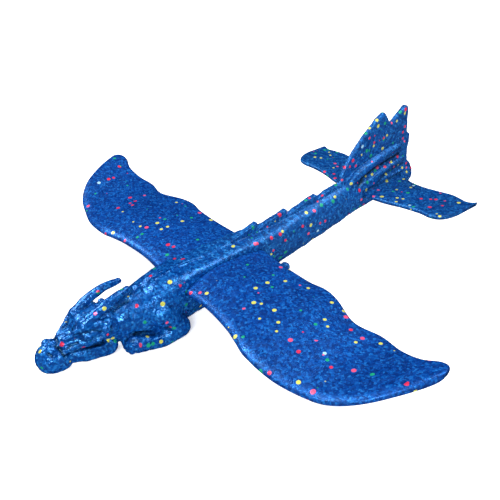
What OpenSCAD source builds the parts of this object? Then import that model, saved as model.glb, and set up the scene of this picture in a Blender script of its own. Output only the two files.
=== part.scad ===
// Dragon-shaped hand glider in moulded bead foam.
// X runs along the span, Y from the snout back to the tail, Z up.
// The origin is the middle of the object on the surface that it stands on.
// Shapes are written from the snout's tip (y = 0) and the wing plane (z = 0), then moved by to_row().

/* [Object] */
// Node to draw
// Length from the snout to the tail
length = 480; // [480]
// Height of the wing plane above the surface that the legs stand on
rest_height = 66; // [60:1:72]

/* [Wings] */
// Distance from the middle to a wing's tip
half_span = 252; // [240:1:270]
// Distance from the middle to a wing's root, at the fuselage side
root_x = 18; // [16:0.5:20]
// Thickness of the wing plate
wing_t = 6; // [4:0.5:8]
// Rise of the wing's middle line above its edges at the root
root_camber = 6.5; // [0:0.5:10]
// Rise of the wing's middle line above its edges at the tip
tip_camber = 1; // [0:0.5:4]
// Thickness of the tongue that plugs into the body
tongue_t = 4; // [3:0.2:6]
// How far the tongue's ends stand in from the wing's edges
tongue_inset = 6; // [4:0.5:10]

/* [Tail] */
// Distance from the middle to the stabiliser's tip
stab_half_span = 114; // [100:1:120]
// Thickness of the stabiliser plate
stab_t = 5; // [4:0.5:6]
// Height of the stabiliser's middle above the wing plane
stab_z = 5; // [3:0.5:7]
// Rise of the stabiliser at 100 mm from the middle
stab_rise = 4.5; // [0:0.5:8]
// Nose-down tilt of the stabiliser in degrees
stab_tilt = 2.7; // [0:0.1:4]
// Half the length of the stabiliser's straight middle part
stab_root = 10; // [8:1:12]
// Thickness of the tail fin
fin_t = 5.6; // [4:0.2:7]

/* [Joints] */
// Gap round each foam tongue in its slot
slot_gap = 0.3; // [0.1:0.05:0.5]

/* [Nose weight] */
// Radius of the steel weight
weight_r = 4.3; // [3:0.1:6]
// Length of the steel weight
weight_h = 12; // [8:0.5:16]
// Length of the foam plug under the weight
plug_h = 7; // [4:0.5:10]
// Distance from the snout's tip to the weight's pocket
weight_y = 18; // [14:1:24]

/* [Smoothness] */
// Stations along the trunk
trunk_steps = 43; // [38:1:90]
// Points round a trunk section
ring_points = 26; // [20:2:48]
// Stations along a wing
wing_steps = 26; // [16:2:44]
// Points along a wing's chord
chord_steps = 12; // [8:2:20]

/* [Hidden] */
foam_blue = [0.09, 0.32, 0.70];
steel_grey = [0.62, 0.63, 0.65];
$fn = 18;
pocket_r = weight_r + 0.05;
pocket_floor = -62;
weight_z = pocket_floor + plug_h + 1.6;

// Trunk stations: distance from the snout, top, widest height, bottom, half width, roundness of the back.
trunk_keys = [
    [58, -22, -36, -54, 13, 0.9],
    [76, -17, -32, -55, 18, 0.9],
    [96, -13, -31, -58, 22, 0.9],
    [120, -7, -29, -60, 25, 0.85],
    [142, -4, -18, -62, 22.5, 0.65],
    [165, -3.5, -10.5, -61, 18.8, 0.5],
    [200, -0.5, -8.5, -57, 18.2, 0.45],
    [236, 4, -9, -50, 17.6, 0.5],
    [275, 8, -10, -42, 16, 0.7],
    [318, 14, -7, -32.5, 14, 0.85],
    [353, 19, -1, -25, 12.5, 0.85],
    [385, 21, 2, -18, 11, 0.85],
    [420, 17, 3, -12.5, 9, 0.85],
    [450, 12, 2.5, -9, 7, 0.85],
    [477, 7, 1, -5, 4.4, 0.85]
];

// Wing edges against the share of the way round to the tip: leading edge, trailing edge.
wing_keys = [
    [0, 137.5, 234],
    [0.1, 139, 231],
    [0.2, 134.8, 231],
    [0.25, 130.5, 234],
    [0.3, 126.2, 231.5],
    [0.4, 127.2, 220.3],
    [0.5, 134, 224],
    [0.6, 142, 219],
    [0.7, 157, 217],
    [0.8, 178, 221],
    [0.9, 196, 218],
    [1, 208, 208]
];

// Height of the wing's edges against the share of the way out: leading edge, trailing edge.
wing_heights = [
    [0, -19, -12],
    [0.4, -16, -10.5],
    [0.75, -18, -10],
    [1, 6, 8]
];

// Stabiliser edges against the share of the way round to the tip: leading edge, trailing edge.
stab_keys = [
    [0, 386, 453],
    [0.16, 387.5, 447],
    [0.32, 392.5, 447.5],
    [0.48, 393.5, 449.5],
    [0.6, 391.5, 446.5],
    [0.7, 392.5, 443.5],
    [0.8, 397.5, 444],
    [0.9, 408, 446.5],
    [0.96, 419, 447.5],
    [1, 434, 434]
];

// Slope of a table at key i, for a smooth curve through its keys.
function slope(k, i, c) =
    let (a = max(i - 1, 0), b = min(i + 1, len(k) - 1))
    (k[b][c] - k[a][c]) / (k[b][0] - k[a][0]);

// Last key at or before s.
function key_before(k, s) =
    max([for (i = [0 : len(k) - 2]) if (i == 0 || k[i][0] <= s) i]);

// Smooth curve through column c of a table, at s.
function smooth(k, s, c) =
    let (i = key_before(k, s), w = k[i + 1][0] - k[i][0], t = (s - k[i][0]) / w)
    k[i][c] * (2 * t * t * t - 3 * t * t + 1)
    + k[i + 1][c] * (3 * t * t - 2 * t * t * t)
    + w * slope(k, i, c) * (t * t * t - 2 * t * t + t)
    + w * slope(k, i + 1, c) * (t * t * t - t * t);

// Signed power, which squares off a round section.
function spow(v, e) = sign(v) * pow(abs(v), e);

// Triangles that close a ring of n points, in a strip between its upper and lower halves.
function cap(n) =
    let (half = n / 2)
    concat(
        [for (j = [0 : half - 2]) [j, j + 1, n - j - 1]],
        [for (j = [1 : half - 1]) [j, n - j - 1, n - j]]
    );

// Rings of points joined into a closed skin, with a flat face at each end.
module skin(rings) {
    n = len(rings[0]);
    m = len(rings);
    points = [for (r = rings) each r];
    sides = [
        for (i = [0 : m - 2], j = [0 : n - 1])
            each [
                [i * n + j, i * n + (j + 1) % n, (i + 1) * n + j],
                [i * n + (j + 1) % n, (i + 1) * n + (j + 1) % n, (i + 1) * n + j]
            ]
    ];
    first = [for (t = cap(n)) [t[2], t[1], t[0]]];
    last = [for (t = cap(n)) t + [1, 1, 1] * (m - 1) * n];
    polyhedron(points = points, faces = concat(first, sides, last), convexity = 6);
}

// Tapered bar of round section from a to b.
module bar(a, ra, b, rb) {
    hull() {
        translate(a)
            sphere(r = ra, $fn = 12);
        translate(b)
            sphere(r = rb, $fn = 12);
    }
}

// Children as they are, and again mirrored to the other side.
module both_sides() {
    children();
    mirror([1, 0, 0])
        children();
}

// From the modelling position to the row's frame.
module to_row() {
    translate([0, -length / 2, rest_height])
        children();
}

// Trunk ------------------------------------------------------------------

function trunk_ring(y) =
    let (
        top = smooth(trunk_keys, y, 1),
        mid = smooth(trunk_keys, y, 2),
        low = smooth(trunk_keys, y, 3),
        half = smooth(trunk_keys, y, 4),
        back = smooth(trunk_keys, y, 5)
    )
    [
        for (i = [0 : ring_points - 1])
            let (a = 360 * i / ring_points, c = cos(a), s = sin(a))
            [
                half * spow(c, s > 0 ? back : 0.9),
                y,
                mid + (s > 0 ? (top - mid) * spow(s, back) : (mid - low) * spow(s, 0.95))
            ]
    ];

module trunk() {
    y0 = trunk_keys[0][0];
    y1 = trunk_keys[len(trunk_keys) - 1][0];
    skin([for (i = [0 : trunk_steps]) trunk_ring(y0 + (y1 - y0) * i / trunk_steps)]);
}

// Side outline of the spine: a low ridge, then three steps that each end in a drop.
module spine() {
    translate([-4, 0, 0])
        rotate([90, 0, 90])
            linear_extrude(height = 8)
                polygon([
                    [96, -14], [104, -5], [106, -8], [124, 0.5], [150, 0.5], [172, -0.5],
                    [190, 0.5], [210, 4], [237, 12.3], [238.3, 6.6], [250, 9.5], [264, 12.5],
                    [276, 14.8], [279, 9.2], [290, 13], [304, 17], [318, 19.2], [320.5, 16.5],
                    [336, 20.5], [353, 23.1], [390, 22], [390, 0], [300, -10], [200, -20]
                ]);
}

// Raised lip of the body along the wing's root.
module root_lip() {
    skin([
        for (i = [0 : 12])
            let (y = 139 + 92 * i / 12, r = 1.2 + 2 * sin(180 * i / 12))
            [for (a = [0 : 36 : 324]) [14.8 + r * cos(a), y, root_z(y) + 2.6 - r * sin(a)]]
    ]);
}

// Head -------------------------------------------------------------------

module snout() {
    hull() {
        translate([0, 14.6, -45.6])
            sphere(r = 14.6);
        both_sides()
            translate([3, 20, -48])
                sphere(r = 11.4);
    }
    both_sides() {
        translate([5, 14, -35])
            sphere(r = 5);
        translate([8.5, 20, -41])
            sphere(r = 6);
    }
}

module jaws() {
    hull() {
        translate([0, 22, -45])
            sphere(r = 10);
        both_sides()
            translate([8, 62, -50.5])
                sphere(r = 9.5);
    }
    hull() {
        translate([0, 24, -38])
            sphere(r = 9.5);
        both_sides()
            translate([9, 44, -32])
                sphere(r = 9.5);
    }
}

module skull() {
    hull() {
        both_sides() {
            translate([8, 42, -26])
                sphere(r = 9.5);
            translate([10, 64, -30])
                sphere(r = 11);
        }
        translate([0, 46, -20])
            sphere(r = 8.5);
        translate([0, 62, -19])
            sphere(r = 9);
    }
    translate([0, 65, -11.5])
        sphere(r = 3);
    both_sides() {
        bar([7, 30, -27], 3.4, [11.5, 42, -20], 3.6);
        bar([11.5, 42, -20], 3.6, [13, 56, -21], 4);
        bar([15, 34, -33.5], 3, [16.5, 56, -33], 4);
    }
}

module horns() {
    both_sides() {
        bar([9.5, 46, -17], 6, [11, 58, -9.5], 4.8);
        bar([11, 58, -9.5], 4.8, [10.6, 72, -3.6], 3.7);
        bar([10.6, 72, -3.6], 3.7, [8, 88, 0], 2.1);
    }
}

// Line between the lips, cut into each side of the head.
module mouth() {
    lips = [[19, -30], [20.5, -37.5], [25, -39.5], [33, -38.5], [44, -41], [64, -42.5]];
    both_sides()
        for (i = [0 : len(lips) - 2])
            hull()
                for (p = [lips[i], lips[i + 1]])
                    translate([10.6, p[0], p[1]])
                        rotate([0, 90, 0])
                            cylinder(r = 0.8, h = 14, $fn = 8);
}

module eye_sockets() {
    both_sides()
        translate([19.5, 43, -26])
            sphere(r = 5);
}

// Legs -------------------------------------------------------------------

module foreleg() {
    bar([19, 112, -32], 12, [22, 129, -52], 9.5);
    bar([22.5, 129, -52.5], 10.8, [22, 112, -59], 8.6);
    bar([22, 112, -59], 8.6, [21, 98, -57.5], 7.8);
    bar([21, 92, -54.5], 9, [19.5, 80, -52.5], 8.2);
}

module hind_leg() {
    bar([15, 238, -32], 13, [19, 214, -50], 11);
    bar([19, 214, -50], 11, [19, 236, -58.8], 8);
    bar([19, 236, -58.8], 8, [17.5, 258, -56], 7.4);
    bar([17.5, 258, -56], 7.4, [16.5, 265, -42.5], 5.6);
}

// Tail fin ---------------------------------------------------------------

fin_front = [[353, 20.5], [358.5, 35], [367, 49], [385, 68.5], [404, 84.5], [413, 89.6]];

fin_outline = concat(fin_front, [
    [417.5, 90], [424, 81], [430, 76.3], [440, 84], [450, 92.2], [453, 92.4], [455.7, 87],
    [459.3, 60.8], [464.2, 57], [464.6, 48], [464, 36], [466.2, 24], [472.8, 18.3],
    [478.6, 10], [480, 3], [480, -3], [476, -7], [460, -6], [400, 0], [360, 4]
]);

module fin() {
    translate([-fin_t / 2, 0, 0])
        rotate([90, 0, 90])
            linear_extrude(height = fin_t)
                polygon(fin_outline);
    for (i = [0 : len(fin_front) - 2])
        bar([0, fin_front[i][0] + 1.5, fin_front[i][1] - 1], 3, [0, fin_front[i + 1][0] + 1.5, fin_front[i + 1][1] - 1], 3);
    both_sides() {
        bar([4.4, 372, 23], 4.2, [3.4, 408, 37], 3.4);
        bar([3.4, 408, 37], 3.4, [2.4, 455, 47], 2.4);
        bar([4.6, 392, 10], 4.4, [2.6, 458, 29], 2.8);
        bar([4.6, 404, 4], 4, [2.4, 466, 12], 2.6);
    }
}

// Wings ------------------------------------------------------------------

// Distance out of the middle for a share s of the way round to the tip.
function wing_x(s) = root_x + (half_span - root_x) * sin(90 * s);

// Middle of the plate at share s of the way round to the tip and share c along the chord.
function wing_point(s, c, x, inset) =
    let (
        out = sin(90 * s),
        le = smooth(wing_keys, s, 1) + inset,
        te = smooth(wing_keys, s, 2) - inset,
        zl = smooth(wing_heights, out, 1),
        zt = smooth(wing_heights, out, 2),
        camber = root_camber + (tip_camber - root_camber) * out
    )
    [x, le + (te - le) * c, zl + (zt - zl) * c + 4 * camber * c * (1 - c)];

// Closed chord section: over the top from the leading edge, and back underneath.
function plate_ring(s, x, t, inset, ends) =
    let (
        n = chord_steps,
        chord = smooth(wing_keys, s, 2) - smooth(wing_keys, s, 1) - 2 * inset,
        edge = min(0.45, 0.5 * t / max(chord, 0.1))
    )
    [
        for (i = [0 : 2 * n - 1])
            let (
                up = i < n,
                c = (1 - cos(180 * (up ? i : 2 * n - i) / n)) / 2,
                near = min(c, 1 - c) / edge,
                full = near >= 1 ? 1 : sqrt(max(0, 1 - (1 - near) * (1 - near))),
                thick = t / 2 * ends * full,
                p = wing_point(s, c, x, inset)
            )
            [p[0], p[1], p[2] + (up ? thick : -thick)]
    ];

// Height of the wing's middle at its root, at a distance y from the snout.
function root_z(y) = wing_point(0, (y - wing_keys[0][1]) / (wing_keys[0][2] - wing_keys[0][1]), root_x, 0)[2];

module wing() {
    last = 0.985;
    skin(concat(
        tongue_rings(0.3, root_x + 0.6, tongue_t, tongue_inset),
        [
            for (i = [0 : wing_steps])
                let (s = last * i / wing_steps, tip = max(0, s - 0.86) / (1 - 0.86))
                plate_ring(s, wing_x(s), wing_t, 0, sqrt(1 - tip * tip * 0.9))
        ]
    ));
}

// Straight tongue of the root's own arch, from x0 to x1.
function tongue_rings(x0, x1, t, inset) = [for (x = [x0, x1]) plate_ring(0, x, t, inset, 1)];

module wing_slot() {
    skin(tongue_rings(-40, 40, tongue_t + 2 * slot_gap, tongue_inset - slot_gap));
}

// Space that the wing's own root needs where the body bulges past root_x.
module wing_root_relief() {
    both_sides()
        skin(tongue_rings(root_x - slot_gap, 60, wing_t + 1.6, -0.8));
}

// Stabiliser -------------------------------------------------------------

function stab_x(s) = stab_root + (stab_half_span - stab_root) * sin(90 * s);

// Closed chord section of the stabiliser at a signed share s of the way round to a tip.
function stab_ring(s) =
    let (
        n = chord_steps,
        u = min(abs(s), 0.985),
        le = smooth(stab_keys, u, 1),
        te = smooth(stab_keys, u, 2),
        x = s == 0 ? 0 : sign(s) * stab_x(u),
        z = stab_z + stab_rise * x * x / 10000,
        edge = min(0.45, 0.5 * stab_t / (te - le))
    )
    [
        for (i = [0 : 2 * n - 1])
            let (
                up = i < n,
                c = (1 - cos(180 * (up ? i : 2 * n - i) / n)) / 2,
                near = min(1, min(c, 1 - c) / edge),
                thick = stab_t / 2 * sqrt(1 - (1 - near) * (1 - near)) * sqrt(1 - 0.7 * pow(max(0, u - 0.9) * 10, 2)),
                y = le + (te - le) * c
            )
            [x, y, z + (y - 430) * tan(stab_tilt) + (up ? thick : -thick)]
    ];

module stab_plate() {
    skin([for (i = [-18 : 18]) stab_ring(i / 18)]);
}

// Slot through the tail, open at its end, so that the stabiliser pulls out backwards.
module stab_slot() {
    half = stab_t / 2 + slot_gap + 0.1;
    translate([0, 430, stab_z])
        rotate([stab_tilt, 0, 0])
            translate([-20, 385.4 - 430, -half])
                cube([40, 120, 2 * half]);
}

// Sub-parts --------------------------------------------------------------

module nose_pocket() {
    translate([0, weight_y, pocket_floor - 6])
        cylinder(r = pocket_r, h = weight_z + weight_h + 0.3 - pocket_floor + 6, $fn = 48);
}

module fuselage() {
    color(foam_blue)
        to_row()
            difference() {
                union() {
                    trunk();
                    spine();
                    snout();
                    jaws();
                    skull();
                    horns();
                    fin();
                    both_sides() {
                        root_lip();
                        foreleg();
                        hind_leg();
                    }
                }
                wing_slot();
                wing_root_relief();
                stab_slot();
                nose_pocket();
                mouth();
                eye_sockets();
                translate([-60, 0, -rest_height - 20])
                    cube([120, 500, 20]);
            }
}

module wing_left() {
    color(foam_blue)
        to_row()
            wing();
}

module wing_right() {
    color(foam_blue)
        to_row()
            mirror([1, 0, 0])
                wing();
}

module stabiliser() {
    color(foam_blue)
        to_row()
            stab_plate();
}

module nose_weight() {
    color(steel_grey)
        to_row()
            translate([0, weight_y, weight_z])
                cylinder(r = weight_r, h = weight_h, $fn = 48);
}

module nose_plug() {
    color(foam_blue)
        to_row()
            translate([0, weight_y, weight_z - plug_h - 0.05])
                cylinder(r = weight_r, h = plug_h, $fn = 48);
}

fuselage();
wing_left();
wing_right();
stabiliser();
nose_weight();
nose_plug();
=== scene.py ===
"""Looks of a dragon-shaped hand glider in moulded bead foam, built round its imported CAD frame.

Shapes are written in millimetres from the snout's tip (y = 0) and the wing plane (z = 0), x across the
span, as in the part's own source, and row() moves them to the frame's metres.
"""

import math

import bmesh
import bpy
import numpy as np
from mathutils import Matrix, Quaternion, Vector, noise


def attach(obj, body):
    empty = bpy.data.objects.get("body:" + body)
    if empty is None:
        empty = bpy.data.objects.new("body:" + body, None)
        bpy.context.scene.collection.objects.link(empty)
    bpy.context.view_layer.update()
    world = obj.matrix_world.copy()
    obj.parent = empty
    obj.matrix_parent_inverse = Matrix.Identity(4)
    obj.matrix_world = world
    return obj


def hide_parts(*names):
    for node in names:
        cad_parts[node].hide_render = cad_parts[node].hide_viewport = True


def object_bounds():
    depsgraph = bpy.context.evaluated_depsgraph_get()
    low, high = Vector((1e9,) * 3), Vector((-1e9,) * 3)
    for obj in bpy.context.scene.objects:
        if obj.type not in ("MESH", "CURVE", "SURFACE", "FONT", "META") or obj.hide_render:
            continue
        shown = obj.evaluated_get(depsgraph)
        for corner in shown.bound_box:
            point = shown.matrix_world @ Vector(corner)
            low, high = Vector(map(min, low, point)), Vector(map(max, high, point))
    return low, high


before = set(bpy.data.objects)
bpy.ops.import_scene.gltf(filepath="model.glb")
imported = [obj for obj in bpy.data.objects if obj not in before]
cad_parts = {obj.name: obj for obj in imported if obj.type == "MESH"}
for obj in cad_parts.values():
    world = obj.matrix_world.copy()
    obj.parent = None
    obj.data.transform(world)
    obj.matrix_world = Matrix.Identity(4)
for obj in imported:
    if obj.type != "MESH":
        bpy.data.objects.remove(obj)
cad_low, cad_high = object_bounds()

MM = 0.001

# The whole: half length and half span from the frame, and the wing plane's height over the ground.
HALF_LENGTH = (cad_high.y - cad_low.y) / MM / 2
HALF_SPAN = cad_high.x / MM
REST_HEIGHT = 66.0

# Both plates: share of the way round to the tip where their skins end, just short of a point.
LAST_SHARE = 0.9985

# Wing plate: root, thickness at the root and what it gains further out, and camber at root and tip.
ROOT_X = 18.0
WING_T = 6.0
WING_SWELL = 1.2
ROOT_CAMBER = 6.5
TIP_CAMBER = 1.0

# How far the wing's top rounds down to its leading edge, in thicknesses, at the root and further out.
ROOT_ROLL = 0.5
OUTER_ROLL = 1.3

# Share of the way round where the wing starts to thin towards its tip.
WING_THIN_FROM = 0.86

# Unevenness of the wing's skin: height and width of its waves.
WING_WAVE = 0.22
WING_WAVE_SIZE = 26.0

# Points over each half of the wing's section, stations out to the tip, and how many of them it swells over.
WING_POINTS = 44
WING_STATIONS = 128
SPREAD_STATIONS = 40

# Tongue that plugs the wing into the body: thickness, inset from the wing's edges, gap at the middle,
# and how far the root face is dished.
TONGUE_T = 4.0
TONGUE_INSET = 6.0
TONGUE_END = 0.3
ROOT_DISH = 0.6

# Stabiliser: half span, straight middle, thickness, height, upward curve and, of the left side, roll at
# 100 mm out, tilt, and the distance from the snout that it tilts about.
STAB_HALF_SPAN = 114.0
STAB_ROOT = 10.0
STAB_T = 5.0
STAB_Z = 5.0
STAB_RISE = 4.5
STAB_TILT = math.radians(2.7)
STAB_ROLL = 2.9
STAB_MID_Y = 430.0
STAB_POINTS = 36
STAB_STATIONS = 110

# The stabiliser's right trailing corner is cut back by this much, from this share outwards.
STAB_CUT = 9.0
STAB_CUT_FROM = 0.82

# Slots: clearance, the stabiliser's slot from front to back, and the slit behind it.
SLOT_GAP = 0.3
STAB_SLOT = (385.2, 455.5)
STAB_SLIT = (450.0, 500.0)
STAB_SLIT_HALF = 0.35

FIN_T = 5.6
SPINE_HALF = 3.1

# Pocket of the nose weight: distance from the snout, radius, top.
POCKET = (18.0, 4.45, -41.0)
POCKET_SIDES = 48

# Sizes of the voxels that melt the parts together, and rounds of smoothing after that.
HEAD_VOXEL, HEAD_ROUNDS = 0.62, 5
BODY_VOXEL, BODY_ROUNDS = 1.12, 3

# Trunk stations: distance from the snout, top, widest height, bottom, half width, roundness of the back.
TRUNK_KEYS = [
    (58, -22, -36, -54, 13, 0.9),
    (76, -17, -32, -55, 18, 0.9),
    (96, -13, -31, -58, 22, 0.9),
    (120, -4.5, -29, -60, 25, 0.88),
    (142, -2, -18, -62, 22.5, 0.7),
    (165, -1.8, -10.5, -61, 18.8, 0.58),
    (200, 1, -8.5, -57, 18.2, 0.52),
    (236, 2.6, -9, -50, 17.6, 0.62),
    (275, 6.2, -10, -42, 16, 0.78),
    (318, 12.6, -7, -32.5, 14, 0.85),
    (353, 19, -1, -25, 12.5, 0.85),
    (385, 21, 2, -18, 11, 0.85),
    (420, 17, 3, -12.5, 9, 0.85),
    (450, 12, 2.5, -9, 7, 0.85),
    (477, 7, 1, -5, 4.4, 0.85),
]

# Wing edges against the share of the way round to the tip: leading edge, trailing edge.
WING_KEYS = [
    (0, 137.5, 234),
    (0.1, 139, 231),
    (0.2, 134.8, 231),
    (0.25, 130.5, 234),
    (0.3, 126.2, 231.5),
    (0.4, 127.2, 220.3),
    (0.5, 134, 224),
    (0.6, 142, 219),
    (0.7, 157, 217),
    (0.8, 178, 221),
    (0.9, 196, 218),
    (1, 208, 208),
]

# Height of the wing's edges against the share of the way out: leading edge, trailing edge.
WING_HEIGHTS = [(0, -19, -12), (0.4, -16, -10.5), (0.75, -18, -10), (1, 6, 8)]

# Stabiliser edges against the share of the way round to the tip: leading edge, trailing edge.
STAB_KEYS = [
    (0, 386, 453),
    (0.16, 387.5, 447),
    (0.32, 392.5, 447.5),
    (0.48, 393.5, 449.5),
    (0.6, 391.5, 446.5),
    (0.7, 392.5, 443.5),
    (0.8, 397.5, 444),
    (0.9, 408, 446.5),
    (0.96, 419, 447.5),
    (1, 434, 434),
]

# Side outline of the spine: a low ridge, then three steps that each end in a drop.
SPINE = [
    (93, -16), (96, -9), (101, -6), (104.5, -8.6), (112, -3.5), (124, -0.5), (150, 0.5), (172, -0.5),
    (190, 0.5), (210, 4.4), (237.5, 13.5), (238.4, 4.6), (247, 8.6), (264, 12.9), (276.6, 16.2),
    (278.4, 7.2), (288, 12.2), (304, 17.4), (318.6, 20.6), (320.2, 14.8), (336, 20.5), (353, 23.1),
    (390, 22), (390, 0), (300, -10), (200, -20),
]

# Side outlines of the fin: its front edge, then the two peaks and the rear.
FIN_FRONT = [(353, 20.5), (358.5, 35), (367, 49), (385, 68.5), (404, 84.5), (413, 89.6)]

FIN_OUTLINE = FIN_FRONT + [
    (417.5, 90), (424, 81), (430, 76.3), (440, 84), (450, 92.2), (453, 92.4), (455.7, 87),
    (459.3, 60.8), (464.2, 57), (464.6, 48), (464, 36), (466.2, 24), (472.8, 18.3), (478.6, 10),
    (480, 3), (480, -3), (476, -7), (460, -6), (400, 0), (360, 4),
]

# Folds are (path, width, depth), and a negative depth raises a ridge. Paths of (x, y, z) are pressed into
# the surface near them, and paths of (y, z) into both sides of the piece. Folds pressed in also get
# painted shade in the material.
HEAD_FOLDS = [
    # Behind the nostril bumps, between brow and forehead, and under the jaw's edge.
    ([(0, 20, -27.5), (6, 20, -28.5), (9, 20.5, -30)], 1.7, 1.6),
    ([(4.5, 30, -24), (6, 42, -16.5), (5, 54, -12.5)], 1.8, 0.9),
    ([(12, 20, -57), (14, 34, -57.5), (15.5, 52, -59)], 2.2, 0.5),
]
MOUTH = [
    (22.3, -41.2), (25, -40.2), (29, -39.1), (39, -39.3), (46, -40.7), (55, -42), (62, -40.6), (67.2, -36.4),
]
HEAD_SIDE_FOLDS = [
    # Mouth line with its shoulders, a broad shallow fold that mostly widens the painted shade along the
    # line, the snout's bulb against the muzzle, the upper lip and a crease over it.
    (MOUTH, 1.1, 2.3),
    (MOUTH, 1.8, 0.9),
    ([(16.5, -27), (19.5, -32), (20.6, -36.5), (22.3, -40.8)], 1.5, 2.3),
    ([(y, z + 2.5) for y, z in MOUTH[1:6]], 1.2, -0.7),
    ([(24, -34), (29, -31.5), (34, -31)], 0.9, 1.0),
    # Nostril.
    ([(9.8, -34.2), (11.4, -35.6)], 1.4, 1.2),
    # Eye socket, the line of the brow over it, the eye and the lid under it.
    ([(35.5, -26.5), (44, -29.5), (52, -30.5)], 4.0, 1.6),
    ([(33.5, -23.5), (40, -21.6), (48, -22), (55, -25.5)], 1.4, 0.9),
    ([(44.4, -26.8), (46.4, -26.4)], 2.2, -1.7),
    ([(36, -32), (44, -34), (52, -33.4)], 1.3, -0.7),
    # Behind the cheek, and a dimple at the jaw's rear end.
    ([(55, -35.5), (62, -31), (64, -24)], 1.4, 0.9),
    ([(58, -46), (63, -45)], 1.6, 0.5),
]
BODY_FOLDS = [
    # Forearm against the chest, behind the elbow, and over the shoulder.
    ([(26, 70, -42), (27, 96, -43.5), (27, 118, -47), (22, 124, -48)], 2.2, 1.6),
    ([(24, 136, -36), (24, 143, -48)], 2.4, 1.1),
    ([(16, 104, -20), (23, 112, -22), (27, 124, -26)], 3, 0.7),
    # Foot of the spine, side of the neck, and under the horns, where painted shade stands for the horns'
    # shadow.
    ([(7, 100, -9), (8, 130, -4), (8.5, 170, -3.5), (8.5, 205, -1)], 3.0, 0.35),
    ([(20, 84, -22), (20, 74, -32)], 3, 0.6),
    ([(11, 64, -17), (7, 72, -16.5), (5, 80, -16.3), (5, 88, -15)], 2.4, 1.3),
    # Between paw, forearm and chest.
    ([(20, 74, -44), (19, 85, -42.5), (19, 95, -46), (20, 102, -50), (27, 112, -45), (29, 116, -42)],
     2.2, 1.3),
    # Under the forearm, and the wrist.
    ([(20, 112, -61), (26, 108, -60)], 1.6, 0.8),
    ([(27, 95, -53), (26, 96, -62)], 1.8, 0.9),
]
FIN_FOLDS = [
    # Grooves under and over the fin's top rib, then over its lowest rib and along it.
    ([(379, 16), (391, 21.8), (413, 28.6), (450, 35.6)], 1.9, 1.6),
    ([(372, 33), (388, 39), (410, 45), (440, 51)], 1.5, 0.5),
    ([(398, 8.5), (424, 15), (460, 21)], 1.6, 0.9),
    ([(384, 8), (420, 9), (456, 11)], 1.8, 0.9),
]

# Unevenness of the moulded skins: (size of the lumps, height).
HEAD_UNEVENNESS = [(9, 0.45), (4, 0.28), (2, 0.1)]
BODY_UNEVENNESS = [(16, 0.55), (7, 0.4), (3.2, 0.28)]


# Curves and points --------------------------------------------------------


def row(points):
    """Millimetres from the snout's tip to metres in the frame."""
    return (np.asarray(points, float) + (0, -HALF_LENGTH, REST_HEIGHT)) * MM


def modelling(points):
    """Metres in the frame to millimetres from the snout's tip."""
    return np.asarray(points, float) / MM - (0, -HALF_LENGTH, REST_HEIGHT)


def smooth(keys, s, column):
    """Smooth curve through one column of a table of keys, at s."""
    i = max([j for j in range(len(keys) - 1) if keys[j][0] <= s], default=0)

    def slope(j):
        a, b = max(j - 1, 0), min(j + 1, len(keys) - 1)
        return (keys[b][column] - keys[a][column]) / (keys[b][0] - keys[a][0])

    w = keys[i + 1][0] - keys[i][0]
    t = (s - keys[i][0]) / w
    return (
        keys[i][column] * (2 * t**3 - 3 * t * t + 1)
        + keys[i + 1][column] * (3 * t * t - 2 * t**3)
        + w * slope(i) * (t**3 - 2 * t * t + t)
        + w * slope(i + 1) * (t**3 - t * t)
    )


def spow(v, e):
    """Power that keeps the sign, for rounded boxes."""
    return math.copysign(abs(v) ** e, v)


def chain(points, steps=6):
    """(x, y, z, radius) points joined by a smooth curve with more points on it."""
    p = [np.array(q, float) for q in points]
    p = [2 * p[0] - p[1], *p, 2 * p[-1] - p[-2]]
    out = []
    for a, b, c, d in zip(p, p[1:], p[2:], p[3:]):
        for i in range(steps):
            t = i / steps
            square, cube = 2 * a - 5 * b + 4 * c - d, 3 * b - a - 3 * c + d
            out.append(0.5 * (2 * b + (c - a) * t + square * t * t + cube * t**3))
    return [tuple(q) for q in [*out, p[-2]]]


# Mesh tools ---------------------------------------------------------------


def new_object(name, points, faces):
    """Mesh object from modelling points in millimetres."""
    mesh = bpy.data.meshes.new(name)
    mesh.from_pydata([tuple(p) for p in row(points)], [], faces)
    mesh.validate()
    mesh.update()
    obj = bpy.data.objects.new(name, mesh)
    bpy.context.scene.collection.objects.link(obj)
    return obj


def skin(name, rings):
    """Closed skin over rings of points, with a flat face at each end."""
    n, m = len(rings[0]), len(rings)
    points = [p for r in rings for p in r]
    faces = []
    for i in range(m - 1):
        for j in range(n):
            k = (j + 1) % n
            faces.append((i * n + j, (i + 1) * n + j, (i + 1) * n + k, i * n + k))
    half = n // 2
    for start, turn in ((0, 1), ((m - 1) * n, -1)):
        for j in range(half):
            loop = [start + j, start + j + 1, start + n - j - 1, start + (n - j) % n]
            faces.append(tuple(dict.fromkeys(loop))[::turn])
    obj = new_object(name, points, faces)
    fix_normals(obj.data)
    return obj


def fix_normals(mesh):
    """Turns every face outwards."""
    bm = bmesh.new()
    bm.from_mesh(mesh)
    bmesh.ops.recalc_face_normals(bm, faces=bm.faces)
    bm.to_mesh(mesh)
    bm.free()


def ball_points(centre, radii, detail=3):
    """Points all over a ball or an ellipsoid."""
    bm = bmesh.new()
    bmesh.ops.create_icosphere(bm, subdivisions=detail, radius=1)
    points = np.array([v.co for v in bm.verts]) * radii + centre
    bm.free()
    return points


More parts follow.
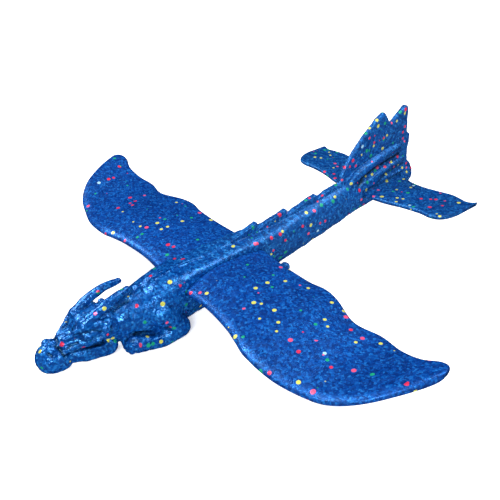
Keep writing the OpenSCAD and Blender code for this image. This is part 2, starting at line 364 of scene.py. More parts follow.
def hull(name, balls):
    """Convex hull over balls (x, y, z, radius or radii)."""
    bm = bmesh.new()
    for b in balls:
        radii = b[3] if len(b) == 4 else b[3:]
        for p in row(ball_points(b[:3], radii)):
            bm.verts.new(p)
    result = bmesh.ops.convex_hull(bm, input=bm.verts)
    unused = result["geom_interior"] + result["geom_unused"]
    loose = {v for v in unused if isinstance(v, bmesh.types.BMVert)}
    bmesh.ops.delete(bm, geom=list(loose), context="VERTS")
    mesh = bpy.data.meshes.new(name)
    bm.to_mesh(mesh)
    bm.free()
    obj = bpy.data.objects.new(name, mesh)
    bpy.context.scene.collection.objects.link(obj)
    return obj


def limb(name, points):
    """Tapered round bar along a chain of (x, y, z, radius) points."""
    return [hull(name, [a, b]) for a, b in zip(points, points[1:])]


def mirrored(balls):
    """The same balls on the other side of the middle."""
    return [(-b[0], *b[1:]) for b in balls]


def both(make, points):
    """The same pieces on both sides of the body."""
    return make("side", points) + make("side", mirrored(points))


def plate(name, outline, half_width):
    """Side outline (y, z) extruded to both sides of the middle."""
    n = len(outline)
    points = [(x, y, z) for x in (-half_width, half_width) for y, z in outline]
    faces = [tuple(range(n))[::-1], tuple(range(n, 2 * n))]
    faces += [(i, (i + 1) % n, n + (i + 1) % n, n + i) for i in range(n)]
    obj = new_object(name, points, faces)
    bm = bmesh.new()
    bm.from_mesh(obj.data)
    bmesh.ops.triangulate(bm, faces=bm.faces)
    bmesh.ops.recalc_face_normals(bm, faces=bm.faces)
    bm.to_mesh(obj.data)
    bm.free()
    return obj


def moulded(name, parts, voxel, rounds):
    """Overlapping parts melted into one skin of even quads, with its creases softened."""
    bpy.ops.object.select_all(action="DESELECT")
    for o in parts:
        o.select_set(True)
    bpy.context.view_layer.objects.active = parts[0]
    bpy.ops.object.join()
    obj = parts[0]
    obj.name = obj.data.name = name
    obj.data.remesh_voxel_size = voxel * MM
    obj.data.remesh_voxel_adaptivity = 0
    bpy.ops.object.voxel_remesh()
    relax = obj.modifiers.new("relax", "SMOOTH")
    relax.factor = 0.5
    relax.iterations = rounds
    apply_modifiers(obj)
    return obj


def apply_modifiers(obj):
    """Makes the modifiers' result the object's own mesh."""
    graph = bpy.context.evaluated_depsgraph_get()
    mesh = bpy.data.meshes.new_from_object(obj.evaluated_get(graph))
    obj.modifiers.clear()
    obj.data = mesh
    mesh.name = obj.name


def cut(obj, cutter):
    """Takes the cutter's space out of obj."""
    modifier = obj.modifiers.new("cut", "BOOLEAN")
    modifier.operation = "DIFFERENCE"
    modifier.solver = "EXACT"
    modifier.object = cutter
    apply_modifiers(obj)
    bpy.data.objects.remove(cutter)


def coordinates(mesh):
    """Vertex positions as an array."""
    co = np.zeros(len(mesh.vertices) * 3, np.float32)
    mesh.vertices.foreach_get("co", co)
    return co.reshape(-1, 3).astype(float)


def normals(mesh):
    """Vertex normals as an array."""
    n = np.zeros(len(mesh.vertices) * 3, np.float32)
    mesh.vertices.foreach_get("normal", n)
    return n.reshape(-1, 3).astype(float)


def distance_to_path(points, path):
    """Distance of each point from a line through path."""
    best = np.full(len(points), 1e9)
    for a, b in zip(path, path[1:]):
        a, b = np.array(a, float), np.array(b, float)
        t = np.clip((points - a) @ (b - a) / ((b - a) @ (b - a)), 0, 1)
        best = np.minimum(best, np.linalg.norm(points - a - t[:, None] * (b - a), axis=1))
    return best


def lumps(points, size, seed):
    """Smooth random value from -1 to 1 at each point, with lumps of that size in millimetres."""
    offset = Vector((seed * 17.3, seed * 5.1, seed * 9.7))
    return np.array([noise.noise(Vector(p) / size + offset) for p in points])


def keep_painted_shade(mesh, share):
    """Keeps how much painted shade each vertex gets in the material: deep in folds and near the plates' rims.
    """
    attribute = mesh.attributes.new("painted_shade", "FLOAT", "POINT")
    attribute.data.foreach_set("value", np.asarray(share, np.float32))


def painted_fold_shade(width, depth):
    """How much painted shade a fold gets: all of it if the fold is deep and narrow."""
    full_depth, full_width = 1.4, 2.2
    return min(1, depth / full_depth) * min(1, full_width / width) ** 2


def sculpt(obj, folds, side_folds, unevenness):
    """Moves the surface along its normals by its folds and lumps, and keeps the painted shade of the folds
    pressed in.
    """
    mesh = obj.data
    points = modelling(coordinates(mesh))
    directions = normals(mesh)
    side = points.copy()
    side[:, 0] = np.abs(side[:, 0])
    shift = np.zeros(len(points))
    painted_shade = np.zeros(len(points))
    sideways = np.clip(np.abs(directions[:, 0]) * 3.5 - 0.3, 0, 1)
    off_middle = np.clip(side[:, 0] / 1.5 - 0.6, 0, 1)
    for path, width, depth in folds + side_folds:
        if len(path[0]) == 3:
            near = np.exp(-((distance_to_path(side, path) / width) ** 2))
        else:
            near = np.exp(-((distance_to_path(points[:, 1:], path) / width) ** 2)) * (sideways * off_middle)
        shift -= depth * near
        # Folds pressed in get painted shade, most where they are deep and narrow.
        if depth > 0:
            painted_shade = np.maximum(painted_shade, near * painted_fold_shade(width, depth))
    for i, (size, height) in enumerate(unevenness):
        shift += height * lumps(points, size, i + 1)
    moved = row(points + directions * shift[:, None])
    mesh.vertices.foreach_set("co", moved.astype(np.float32).ravel())
    keep_painted_shade(mesh, painted_shade)
    mesh.update()


def finish_mesh(obj, sharp_angle=48):
    """Smooth shading, with edges sharper than the angle in degrees kept."""
    obj.data.shade_smooth()
    obj.data.set_sharp_from_angle(angle=math.radians(sharp_angle))


# Wings and stabiliser -----------------------------------------------------


def wing_point(s, c, x, inset):
    """Middle of the plate at share s of the way round to the tip and share c along the chord."""
    out = math.sin(math.pi / 2 * s)
    le = smooth(WING_KEYS, s, 1) + inset
    te = smooth(WING_KEYS, s, 2) - inset
    zl, zt = smooth(WING_HEIGHTS, out, 1), smooth(WING_HEIGHTS, out, 2)
    camber = ROOT_CAMBER + (TIP_CAMBER - ROOT_CAMBER) * out
    return (x, le + (te - le) * c, zl + (zt - zl) * c + 4 * camber * c * (1 - c))


def rounded_edge(c, lead, trail):
    """Share of the full thickness at c, rounded over the lead and trail shares of the chord."""
    near = min(1.0, c / lead, (1 - c) / trail)
    return math.sqrt(max(0.0, 1 - (1 - near) ** 2))


def ring_share(j, n):
    """Share of the chord at point j of a closed section: over the top, then back underneath."""
    return (1 - math.cos(math.pi * (j if j < n else 2 * n - j) / n)) / 2


def plate_ring(s, x, t, inset, ends, n, roll=ROOT_ROLL):
    """Closed chord section: over the top from the leading edge, and back underneath.
    roll is how far the top rounds down to the leading edge, in thicknesses."""
    chord = max(smooth(WING_KEYS, s, 2) - smooth(WING_KEYS, s, 1) - 2 * inset, 0.1)
    edge = min(0.45, 0.5 * t / chord)
    lead = min(0.5, roll * t / chord)
    ring = []
    for j in range(2 * n):
        above = j < n
        c = ring_share(j, n)
        x, y, z = wing_point(s, c, x, inset)
        thick = t / 2 * ends * rounded_edge(c, lead if above else edge, edge)
        ring.append((x, y, z + (thick if above else -thick)))
    return ring


def tongue_rings(x0, x1, t, inset, n):
    """The root's section at two places across, for tongues and the spaces cut for them."""
    return [plate_ring(0, x, t, inset, 1, n) for x in (x0, x1)]


def painted_rim_shade(c, chord, lead, fade):
    """Painted shade near the rim for a point at share c of the chord: lead at the leading edge, more at the
    trailing.
    """
    return lead * math.exp(-c * chord / fade) + 0.6 * math.exp(-(1 - c) * chord / 2)


def wing_station(i, side):
    """Section i on the way out to the tip, slightly uneven, and the chord there."""
    s = LAST_SHARE * i / WING_STATIONS
    thinning = max(0.0, s - WING_THIN_FROM) / (1 - WING_THIN_FROM)
    ends = math.sqrt(1 - thinning * thinning * 0.9)
    x = ROOT_X + (HALF_SPAN - ROOT_X) * math.sin(math.pi / 2 * s)
    spread = min(1.0, i / SPREAD_STATIONS)
    roll = ROOT_ROLL + (OUTER_ROLL - ROOT_ROLL) * spread
    ring = []
    for x, y, z in plate_ring(s, x, WING_T + WING_SWELL * spread, 0, ends, WING_POINTS, roll):
        place = Vector((x / WING_WAVE_SIZE, y / WING_WAVE_SIZE, side * 3.1))
        ring.append((x, y, z + WING_WAVE * noise.noise(place) * min(1, i / 6)))
    return ring, max(smooth(WING_KEYS, s, 2) - smooth(WING_KEYS, s, 1), 1)


def wing(name, side):
    """Half wing in one skin, with the tongue that plugs into the body."""
    n = WING_POINTS
    rings = tongue_rings(TONGUE_END, ROOT_X + ROOT_DISH, TONGUE_T, TONGUE_INSET, n)
    # Painted shade along the rims, none on the tongue.
    rim = [0.0] * (2 * n * len(rings))
    for i in range(WING_STATIONS + 1):
        ring, chord = wing_station(i, side)
        rings.append(ring)
        rim += [painted_rim_shade(ring_share(j, n), chord, 0.25, 2.5) for j in range(2 * n)]
    obj = skin(name, [[(x * side, y, z) for x, y, z in r] for r in rings])
    keep_painted_shade(obj.data, rim)
    finish_mesh(obj, 60)
    return obj


def stab_height(x, y):
    """Middle of the stabiliser's plate: curved up towards the tips, tilted, rolled and slightly uneven."""
    z = STAB_Z + STAB_RISE * x * x / 10000 + (y - STAB_MID_Y) * math.tan(STAB_TILT)
    z += STAB_ROLL * x / 100
    return z + 0.15 * noise.noise(Vector((x / 20, y / 20, 7.7))) * min(1, max(0, abs(x) - 12) / 10)


def stab_station(i):
    """Section i of the stabiliser, from one tip (negative i) to the other, and the chord there."""
    n, share = STAB_POINTS, i / STAB_STATIONS
    u = min(abs(share), LAST_SHARE)
    le, te = smooth(STAB_KEYS, u, 1), smooth(STAB_KEYS, u, 2)
    if share < 0:
        te -= STAB_CUT * max(0.0, (u - STAB_CUT_FROM) / (1 - STAB_CUT_FROM)) ** 2
    x = math.copysign(STAB_ROOT + (STAB_HALF_SPAN - STAB_ROOT) * math.sin(math.pi / 2 * u), share)
    if abs(i) < 1.5:
        x = i * STAB_ROOT / 1.5
    edge = min(0.45, 0.5 * STAB_T / max(te - le, 0.1))
    tip = max(0.0, u - 0.9) * 10
    ends = math.sqrt(max(0.02, 1 - 0.7 * tip * tip))
    ring = []
    for j in range(2 * n):
        c = ring_share(j, n)
        thick = STAB_T / 2 * rounded_edge(c, edge, edge) * ends
        y = le + (te - le) * c
        ring.append((x, y, stab_height(x, y) + (thick if j < n else -thick)))
    return ring, te - le


def stabiliser():
    """One-piece stabiliser, a little lower on one side as it sits in its slot."""
    # rim holds the painted shade along the plate's rims.
    rings, rim = [], []
    for i in range(-STAB_STATIONS, STAB_STATIONS + 1):
        ring, chord = stab_station(i)
        rings.append(ring)
        rim += [painted_rim_shade(ring_share(j, STAB_POINTS), chord, 0.2, 2) for j in range(2 * STAB_POINTS)]
    obj = skin("stabiliser_foam", rings)
    keep_painted_shade(obj.data, rim)
    finish_mesh(obj, 60)
    return obj


# Head ---------------------------------------------------------------------


def head_sides():
    """Horns, brows, cheeks and the corners behind the eyes, then nostrils, eyes and lips."""
    horn = [(9.5, 44, -18, 6), (11, 58, -9.5, 4.8), (10.6, 72, -3.6, 4.0), (8, 87.4, -0.4, 2.8)]
    brow = [(5.5, 26, -29.5, 3), (8, 32, -26, 3.4), (12, 42, -19.5, 3.8), (14, 56, -20.5, 4.2)]
    cheek = [(11, 33, -33.8, 3.2), (13, 41, -34, 3.6), (15.5, 54, -32.5, 4.6)]
    corner = [(16.5, 58, -30, 5), (15, 62, -22, 5)]
    parts = both(limb, chain(horn, 4)) + both(limb, brow)
    parts += both(limb, chain(cheek, 3)) + both(limb, corner)
    for sign in (-1, 1):
        parts.append(hull("nostril", [(sign * 5.2, 14, -35, 5.4), (sign * 4.5, 18, -33.5, 4.2)]))
        parts.append(hull("nose_side", [(sign * 8.5, 20, -41, 6.2), (sign * 8, 15, -45, 7)]))
        parts.append(hull("eye", [(sign * 15.6, 42.5, -27.6, 3.4, 5.6, 4.2)]))
        parts.append(hull("lip", [(sign * 10.5, 26, -35.5, 3.2), (sign * 11.5, 33, -34.5, 3.2)]))
    return parts


def head():
    """Dragon head: bulb snout, brows, eyes in their sockets, jaw, horns and a knob between them."""
    parts = [
        hull("snout", [(0, 14.6, -45.6, 14.6), (3, 20, -48, 11.4), (-3, 20, -48, 11.4)]),
        hull("jaw", [(0, 22, -45, 10), (6.5, 42, -48, 9.9), (-6.5, 42, -48, 9.9), (8.5, 62, -50.5, 9.5),
                     (-8.5, 62, -50.5, 9.5)]),
        hull("muzzle", [(0, 24, -37, 9.5), (8, 44, -31.5, 9.5), (-8, 44, -31.5, 9.5)]),
        hull("skull", [(8, 42, -26, 9), (-8, 42, -26, 9), (10, 64, -30, 11), (-10, 64, -30, 11),
                       (0, 46, -20, 8), (0, 62, -19, 9)]),
        hull("knob", [(0, 65.4, -9.6, 3.4), (0, 63, -16, 3.6)]),
    ]
    obj = moulded("head_foam", parts + head_sides(), HEAD_VOXEL, HEAD_ROUNDS)
    sculpt(obj, HEAD_FOLDS, HEAD_SIDE_FOLDS, HEAD_UNEVENNESS)
    cut(obj, pocket_cutter())
    finish_mesh(obj)
    return obj


def pocket_cutter():
    """Round pocket under the snout, where the nose weight and its plug sit."""
    y, radius, top = POCKET
    below = -75.0
    angles = np.linspace(0, 2 * math.pi, POCKET_SIDES + 1)[:-1]
    ring = [(radius * math.cos(a), y + radius * math.sin(a)) for a in angles]
    return skin("pocket", [[(x, yy, z) for x, yy in ring] for z in (below, top)])


# Body ---------------------------------------------------------------------


def trunk():
    """Neck, chest and tail boom: a rounded section that changes along the keys."""
    n, stations = 64, 150
    rings = []
    y0, y1 = TRUNK_KEYS[0][0], TRUNK_KEYS[-1][0]
    for i in range(stations + 1):
        y = y0 + (y1 - y0) * i / stations
        top, mid, low, half, back = [smooth(TRUNK_KEYS, y, k) for k in range(1, 6)]
        ring = []
        for j in range(n):
            c, s = math.cos(2 * math.pi * j / n), math.sin(2 * math.pi * j / n)
            ring.append((
                half * spow(c, back if s > 0 else 0.9),
                y,
                mid + ((top - mid) * spow(s, back) if s > 0 else (mid - low) * spow(s, 0.95)),
            ))
        rings.append(ring)
    return skin("trunk", rings)


def root_z(y):
    """Height of the wing's middle at its root."""
    le, te = WING_KEYS[0][1], WING_KEYS[0][2]
    return wing_point(0, (y - le) / (te - le), ROOT_X, 0)[2]


def root_lip(name, side):
    """Bead of foam along the wing's root, thickest halfway."""
    front, length, steps = 139, 92, 16
    points = []
    for i in range(steps + 1):
        y = front + length * i / steps
        points.append((side * 14.8, y, root_z(y) + 2.8, 1.2 + 2 * math.sin(math.pi * i / steps)))
    return limb(name, points)


def toes():
    """Four toes on each forepaw and three on each hind foot, spread sideways."""
    parts = []
    for i in range(4):
        spread = i - 1.5
        toe = [(19.6 + 4.1 * spread, 82, -51, 4.6), (19.4 + 4.4 * spread, 75.4 + abs(spread), -48.5, 3.9),
               (19.2 + 4.4 * spread, 75.6 + abs(spread), -54, 3.5)]
        parts += both(limb, toe)
    for i in range(3):
        spread = i - 1
        parts += both(limb, [(19 + 4.6 * spread, 212, -55, 5), (19 + 5 * spread, 204, -60.5, 4)])
    return parts


def legs():
    """Folded forelegs and hind legs with their toes."""
    parts = []
    fore = [
        [(19, 112, -32, 12), (22, 129, -52, 9.5)],
        [(22.5, 129, -52.5, 10.6), (22, 112, -59, 8.2), (21, 98, -57.8, 7.4)],
        [(21, 94, -56, 8), (20.3, 86, -54, 8.8), (19.4, 80.5, -50, 8.4)],
    ]
    hind = [
        [(15, 238, -32, 13), (19, 214, -50, 11), (19, 236, -58.8, 7.6), (17.5, 256, -56.6, 7)],
        [(17.5, 258, -56, 6.6), (16.5, 265, -42.5, 5.4)],
    ]
    for pieces in fore + hind:
        parts += both(limb, pieces)
    return parts + toes()


def fin():
    """Tail fin: a plate with a rounded front edge and three curved ribs each side."""
    parts = [plate("fin", FIN_OUTLINE, FIN_T / 2)]
    parts += limb("fin_front", [(0, y + 1.5, z - 1, 3.1) for y, z in FIN_FRONT])
    parts += limb("fin_peak", [(0, 431.5, 75.5, 2.9), (0, 442, 84, 2.7), (0, 451, 90, 2.5)])
    ribs = [
        [(3.8, 366, 19, 3.8), (5, 371, 25.5, 5.2), (4.8, 386, 32, 5.4), (4, 409, 38.6, 4.8),
         (2.8, 436, 44.5, 3.8), (1.6, 456, 47.5, 2.6)],
        [(4.4, 386, 9, 3.8), (4.6, 398, 14.6, 3.8), (3.4, 424, 22, 3.2), (2.2, 458, 28.5, 2.4)],
        [(4.6, 402, 4, 3.6), (3.6, 430, 8.5, 3.0), (2.2, 462, 13.5, 2.4)],
    ]
    for rib in ribs:
        parts += both(limb, chain(rib, 3))
    return parts


def wing_slot_cutter():
    """Slot right through the body for both wings' tongues."""
    reach, points = 40, 24
    height = TONGUE_T + 2 * SLOT_GAP
    return skin("wing_slot", tongue_rings(-reach, reach, height, TONGUE_INSET - SLOT_GAP, points))


def relief_cutter(side):
    """Space that the wing's own root needs where the body bulges past it."""
    rings = tongue_rings(ROOT_X - SLOT_GAP, 60, WING_T + 1.6, -0.8, 24)
    return skin("relief", [[(p[0] * side, p[1], p[2]) for p in r] for r in rings])


def stab_slot_cutters():
    """Slot through the tail, and the slit behind it whose soft lips part when the stabiliser is drawn out."""
    made = []
    half = STAB_T / 2 + SLOT_GAP + 0.35
    reach = 22
    openings = [("stab_slot", STAB_SLOT, half), ("stab_slit", STAB_SLIT, STAB_SLIT_HALF)]
    for name, (start, end), height in openings:
        points = []
        for x in (-reach, reach):
            for y, z in ((start, -height), (end, -height), (end, height), (start, height)):
                points.append((x, y, STAB_Z + (y - STAB_MID_Y) * math.sin(STAB_TILT) + z))
        faces = [(0, 1, 2, 3), (4, 5, 6, 7), (0, 1, 5, 4), (1, 2, 6, 5), (2, 3, 7, 6), (3, 0, 4, 7)]
        obj = new_object(name, points, faces)
        fix_normals(obj.data)
        made.append(obj)
    return made


def body():
    """Neck, trunk, spine, legs and tail fin in one moulding, flat where it stands."""
    parts = [trunk(), plate("spine_base", SPINE, SPINE_HALF)]
    parts += fin() + legs()
    parts += root_lip("lip", 1) + root_lip("lip", -1)
    obj = moulded("body_foam", parts, BODY_VOXEL, BODY_ROUNDS)
    sculpt(obj, BODY_FOLDS, FIN_FOLDS, BODY_UNEVENNESS)
    cut(obj, wing_slot_cutter())
    for side in (-1, 1):
        cut(obj, relief_cutter(side))
    for cutter in stab_slot_cutters():
        cut(obj, cutter)
    cut(obj, new_box("below", (-60, -20, -90), (60, 520, -REST_HEIGHT)))
    finish_mesh(obj)
    return obj


def new_box(name, low, high):
    """Box between two corners."""
    points = [(x, y, z) for x in (low[0], high[0]) for y in (low[1], high[1]) for z in (low[2], high[2])]
    faces = [(0, 1, 3, 2), (4, 6, 7, 5), (0, 4, 5, 1), (2, 3, 7, 6), (0, 2, 6, 4), (1, 5, 7, 3)]
    obj = new_object(name, points, faces)
    fix_normals(obj.data)
    return obj


# Materials ----------------------------------------------------------------


class Graph:
    """Short calls for building a material's nodes."""

    def __init__(self, name):
        self.material = bpy.data.materials.new(name)
        self.material.use_nodes = True
        self.tree = self.material.node_tree
        self.shader = next(n for n in self.tree.nodes if n.type == "BSDF_PRINCIPLED")
        self.place = self.node("ShaderNodeTexCoord").outputs["Object"]

    def node(self, kind, settings=(), **links):
        made = self.tree.nodes.new(kind)
        for key, value in dict(settings).items():
            setattr(made, key, value)
        for key, value in links.items():
            self.join(made, key, value)
        return made

    def join(self, node, key, value):
        socket = node.inputs[int(key[1:])] if key[0] == "i" and key[1:].isdigit() else node.inputs[key]
        if isinstance(value, bpy.types.NodeSocket):
            self.tree.links.new(value, socket)
        else:
            socket.default_value = value

    def voronoi(self, size, feature="F1"):
        """Cells of that size in millimetres."""
        scale = 1 / (size * MM)
        return self.node("ShaderNodeTexVoronoi", {"feature": feature}, Vector=self.place, Scale=scale)

    def noise(self, size, detail=2.0):
        """Cloudy noise of that size in millimetres."""
        scale = 1 / (size * MM)
        made = self.node("ShaderNodeTexNoise", {}, Vector=self.place, Scale=scale, Detail=detail)
        return made.outputs["Fac"]

    def span(self, value, low, high, to_low, to_high):
        """Moves value from the range low to high to another range, without leaving it."""
        made = self.node("ShaderNodeMapRange", {"clamp": True}, Value=value)
        for key, number in zip(("From Min", "From Max", "To Min", "To Max"), (low, high, to_low, to_high)):
            self.join(made, key, number)
        return made.outputs["Result"]

    def math(self, operation, a, b):
        return self.node("ShaderNodeMath", {"operation": operation}, i0=a, i1=b).outputs[0]

    def ramp(self, value, stops, interpolation="LINEAR"):
        made = self.node("ShaderNodeValToRGB", {}, Fac=value)
        ramp = made.color_ramp
        ramp.interpolation = interpolation
        while len(ramp.elements) < len(stops):
            ramp.elements.new(0.5)
        for element, (place, colour) in zip(ramp.elements, stops):
            element.position = place
            element.color = (*colour, 1)
        return made.outputs["Color"]

    def mix(self, share, a, b, blend="MIX"):
        made = self.node("ShaderNodeMix", {"data_type": "RGBA", "blend_type": blend})
        for socket, value in ((made.inputs[0], share), (made.inputs[6], a), (made.inputs[7], b)):
            if isinstance(value, bpy.types.NodeSocket):
                self.tree.links.new(value, socket)
            else:
                socket.default_value = value
        return made.outputs[2]

    def scaled(self, colour, share):
        """Colour made darker or lighter by a share."""
        grey = self.node("ShaderNodeCombineColor", {}, Red=share, Green=share, Blue=share).outputs[0]
        return self.mix(1.0, colour, grey, "MULTIPLY")


RED = (0.62, 0.02, 0.07)
PINK = (0.70, 0.07, 0.17)
YELLOW = (0.58, 0.58, 0.10)
GREEN = (0.01, 0.30, 0.16)
PALE = (0.35, 0.60, 0.75)

# Coloured beads: distance between their places, largest usual radius, and how often each colour comes.
DOT_SPACING = 7.0
DOT_RADIUS = 2.1
DOT_COLOURS = [(0, RED), (0.28, PINK), (0.42, YELLOW), (0.68, GREEN), (0.975, PALE)]

# Blues of the beads from the darkest to the palest.
BLUES = [
    (0.22, (0.0003, 0.028, 0.18)),
    (0.42, (0.0008, 0.052, 0.275)),
    (0.58, (0.0012, 0.079, 0.36)),
    (0.74, (0.008, 0.145, 0.49)),
    (0.9, (0.06, 0.30, 0.67)),
]

# How dark the seams between beads are, and how dark the painted shade gets in the deepest folds and along the
# rims.
SEAM_SHADE = 0.72
CREASE_SHADE = 0.16

# Tint of the foam's reflections.
SHEEN = (0.30, 0.78, 1.0)


def confetti(g, density):
    """Coloured beads scattered through the foam: (mask, colour)."""
    cells = g.voronoi(DOT_SPACING)
    parts = g.node("ShaderNodeSeparateColor", {}, Color=cells.outputs["Color"]).outputs
    radius = g.span(parts[1], 0, 1, 0.8 * DOT_RADIUS / DOT_SPACING, 1.15 * DOT_RADIUS / DOT_SPACING)
    inside = g.span(g.math("SUBTRACT", radius, cells.outputs["Distance"]), 0, 0.035, 0, 1)
    chosen = g.math("LESS_THAN", parts[0], density)
    return g.math("MULTIPLY", inside, chosen), g.ramp(parts[2], DOT_COLOURS, "CONSTANT")


def bead_blue(g, bead, grain, seam, light, tint):
    """Blue of the fused beads: each a little lighter or darker, with darker seams and slow patches."""
    cells = g.voronoi(bead)
    tone = g.node("ShaderNodeSeparateColor", {}, Color=cells.outputs["Color"]).outputs[0]
    tone = g.math("ADD", g.math("MULTIPLY", tone, 0.55), g.math("MULTIPLY", grain, 0.45))
    blue = g.mix(1.0, g.ramp(tone, BLUES), (*tint, 1), "MULTIPLY")
    blue = g.scaled(blue, g.span(seam, 0, 0.10, SEAM_SHADE * light, light))
    return g.scaled(blue, g.span(g.noise(38), 0.3, 0.7, 0.9, 1.08))


def bead_relief(g, bead, seam, strength):
    """Domed beads with sunk seams, on a finely uneven skin."""
    dome = g.voronoi(bead, "SMOOTH_F1").outputs["Distance"]
    sunk = g.math("MULTIPLY", g.span(seam, 0, 0.16, 0, 1), 0.35)
    height = g.math("ADD", sunk, g.math("MULTIPLY", dome, -0.5))
    height = g.math("ADD", height, g.math("MULTIPLY", g.noise(2.2, 4.0), 0.9))
    bump = g.node("ShaderNodeBump", {}, Height=height, Strength=strength, Distance=0.6 * MM)
    g.join(g.shader, "Normal", bump.outputs["Normal"])


def foam(name, dots, bead, bump, rough, tail_dots=None, light=1.0, tint=(1.0, 1.0, 1.0)):
    """Fused foam beads with coloured beads among them. light and tint scale the blue, and with tail_dots
    the coloured beads get denser and the skin duller towards the tail."""
    g = Graph(name)
    grain = g.noise(1.1, 3.0)
    seam = g.voronoi(bead, "DISTANCE_TO_EDGE").outputs["Distance"]
    blue = bead_blue(g, bead, grain, seam, light, tint)
    roughness = g.span(g.noise(6, 4.0), 0.3, 0.7, rough - 0.08, rough + 0.12)
    density = dots
    if tail_dots is not None:
        along = g.node("ShaderNodeSeparateXYZ", {}, Vector=g.place).outputs[1]
        density = g.span(along, -0.08, 0.12, dots, tail_dots)
        roughness = g.math("ADD", roughness, g.span(along, -0.10, 0.0, 0.0, 0.2))
    mask, colour = confetti(g, density)
    surface = g.mix(mask, blue, g.scaled(colour, g.span(grain, 0.3, 0.7, 0.85, 1.15)))
    # Painted shade: darker colour in pressed-in folds and along the plates' rims.
    painted_shade = g.node("ShaderNodeAttribute", {"attribute_name": "painted_shade"}).outputs["Fac"]
    g.join(g.shader, "Base Color", g.scaled(surface, g.span(painted_shade, 0.1, 0.9, 1.0, CREASE_SHADE)))
    g.join(g.shader, "Roughness", roughness)
    bead_relief(g, bead, seam, bump)
    return g


def gloss(g, metallic, coat, coat_roughness, specular=0.5, tint=SHEEN):
    """Finishes a material with its reflections, and returns it."""
    g.join(g.shader, "Metallic", metallic)
    g.join(g.shader, "Coat Weight", coat)
    g.join(g.shader, "Coat Roughness", coat_roughness)
    g.join(g.shader, "Specular IOR Level", specular)
    g.join(g.shader, "Specular Tint", (*tint, 1))
    return g.material


def steel():
    """Plain steel of the nose weight, with fine scratches."""
    g = Graph("steel")
    lines = g.noise(0.5, 5.0)
    bump = g.node("ShaderNodeBump", {}, Height=lines, Strength=0.1, Distance=0.2 * MM)
    g.join(g.shader, "Base Color", g.ramp(lines, [(0.3, (0.38, 0.39, 0.41)), (0.7, (0.60, 0.61, 0.63))]))
    g.join(g.shader, "Roughness", g.span(lines, 0.3, 0.7, 0.25, 0.45))
    g.join(g.shader, "Normal", bump.outputs["Normal"])
    return gloss(g, 1.0, 0.0, 0.1, 0.5, (1, 1, 1))


def dress(obj, material, body_name, node):
    """Gives a piece its material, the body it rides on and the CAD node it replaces."""
    obj.data.materials.clear()
    obj.data.materials.append(material)
    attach(obj, body_name)
    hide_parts(node)


body_graph = foam("body_foam", dots=0.22, bead=2.0, bump=0.34, rough=0.24, tail_dots=0.5, light=0.97)
wing_graph = foam("wing_foam", dots=0.22, bead=1.9, bump=0.3, rough=0.36, light=0.72, tint=(0.6, 0.97, 1.22))
tail_graph = foam("tail_foam", dots=0.42, bead=1.9, bump=0.3, rough=0.36, light=0.82)
body_foam = gloss(body_graph, metallic=0.35, coat=0.05, coat_roughness=0.2, specular=1.0)
wing_foam = gloss(wing_graph, metallic=0.3, coat=0.0, coat_roughness=0.35, specular=0.75)
tail_foam = gloss(tail_graph, metallic=0.3, coat=0.0, coat_roughness=0.3, specular=0.9)

head_piece = head()
body_piece = body()
left = wing("wing_left_foam", 1)
right = wing("wing_right_foam", -1)
tail = stabiliser()

dress(head_piece, body_foam, "fuselage_body", "fuselage")
dress(body_piece, body_foam, "fuselage_body", "fuselage")
dress(left, wing_foam, "wing_left_body", "wing_left")
dress(right, wing_foam, "wing_right_body", "wing_right")
dress(tail, tail_foam, "stabiliser_body", "stabiliser")
for node, material in (("nose_weight", steel()), ("nose_plug", body_foam)):
    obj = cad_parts[node]
    obj.data.materials.clear()
    obj.data.materials.append(material)


# Room, light and camera ---------------------------------------------------

# Softboxes: name, place, diameter and power. All look at one point over the glider's middle.
SOFTBOXES = [
    ("key", (-0.80, -0.80, 1.25), 0.5, 22),
    ("front", (1.05, -1.0, 0.9), 0.35, 22),
    ("top", (0.40, 0.60, 1.5), 0.9, 18),
]
LIT_POINT = (0, 0, 0.05)

CAMERA_PLACE = (0.4168, -0.3369, 0.3685)
CAMERA_TARGET = (0.0, -0.0092, 0.0488)
CAMERA_LENS = 43.41
CAMERA_ROLL = math.radians(0.37)

FLOOR_HALF = 14.0


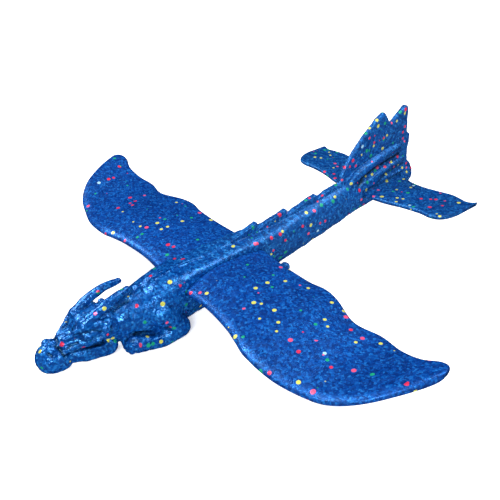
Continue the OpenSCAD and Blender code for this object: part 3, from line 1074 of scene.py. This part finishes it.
def floor():
    """Pale floor that lights itself a little and doesn't show in the foam's reflections."""
    mesh = bpy.data.meshes.new("floor")
    corners = [(x * FLOOR_HALF, y * FLOOR_HALF, 0) for x, y in ((-1, -1), (1, -1), (1, 1), (-1, 1))]
    mesh.from_pydata(corners, [], [(0, 1, 2, 3)])
    obj = bpy.data.objects.new("floor", mesh)
    bpy.context.scene.collection.objects.link(obj)
    material = bpy.data.materials.new("floor")
    material.use_nodes = True
    shader = material.node_tree.nodes["Principled BSDF"]
    shader.inputs["Base Color"].default_value = (0.82, 0.82, 0.82, 1)
    shader.inputs["Roughness"].default_value = 0.9
    shader.inputs["Specular IOR Level"].default_value = 0.1
    shader.inputs["Emission Color"].default_value = (1, 1, 1, 1)
    shader.inputs["Emission Strength"].default_value = 0.55
    mesh.materials.append(material)
    obj.visible_glossy = False


def softbox(name, place, size, power):
    """Round soft light that looks at the lit point."""
    light = bpy.data.lights.new(name, "AREA")
    light.shape = "DISK"
    light.size = size
    light.energy = power
    obj = bpy.data.objects.new(name, light)
    obj.location = place
    direction = Vector(LIT_POINT) - Vector(place)
    obj.rotation_euler = direction.to_track_quat("-Z", "Y").to_euler()
    bpy.context.scene.collection.objects.link(obj)


def studio():
    """Even pale surroundings, which don't show in reflections, and the softboxes, which do."""
    world = bpy.data.worlds.new("studio")
    world.use_nodes = True
    background = world.node_tree.nodes["Background"]
    background.inputs["Color"].default_value = (1, 1, 1, 1)
    background.inputs["Strength"].default_value = 0.7
    world.cycles_visibility.glossy = False
    bpy.context.scene.world = world
    for name, place, size, power in SOFTBOXES:
        softbox(name, place, size, power)
    bpy.context.scene.view_settings.view_transform = "Standard"


def camera():
    """Camera in front of the glider, to its left and above, slightly rolled."""
    data = bpy.data.cameras.new("camera")
    data.sensor_width = 36.0
    data.lens = CAMERA_LENS
    data.clip_start = 0.01
    obj = bpy.data.objects.new("camera", data)
    obj.location = CAMERA_PLACE
    look = (Vector(CAMERA_TARGET) - Vector(CAMERA_PLACE)).to_track_quat("-Z", "Y")
    obj.rotation_mode = "QUATERNION"
    obj.rotation_quaternion = look @ Quaternion((0, 0, 1), CAMERA_ROLL)
    bpy.context.scene.collection.objects.link(obj)
    bpy.context.scene.camera = obj


floor()
studio()
camera()
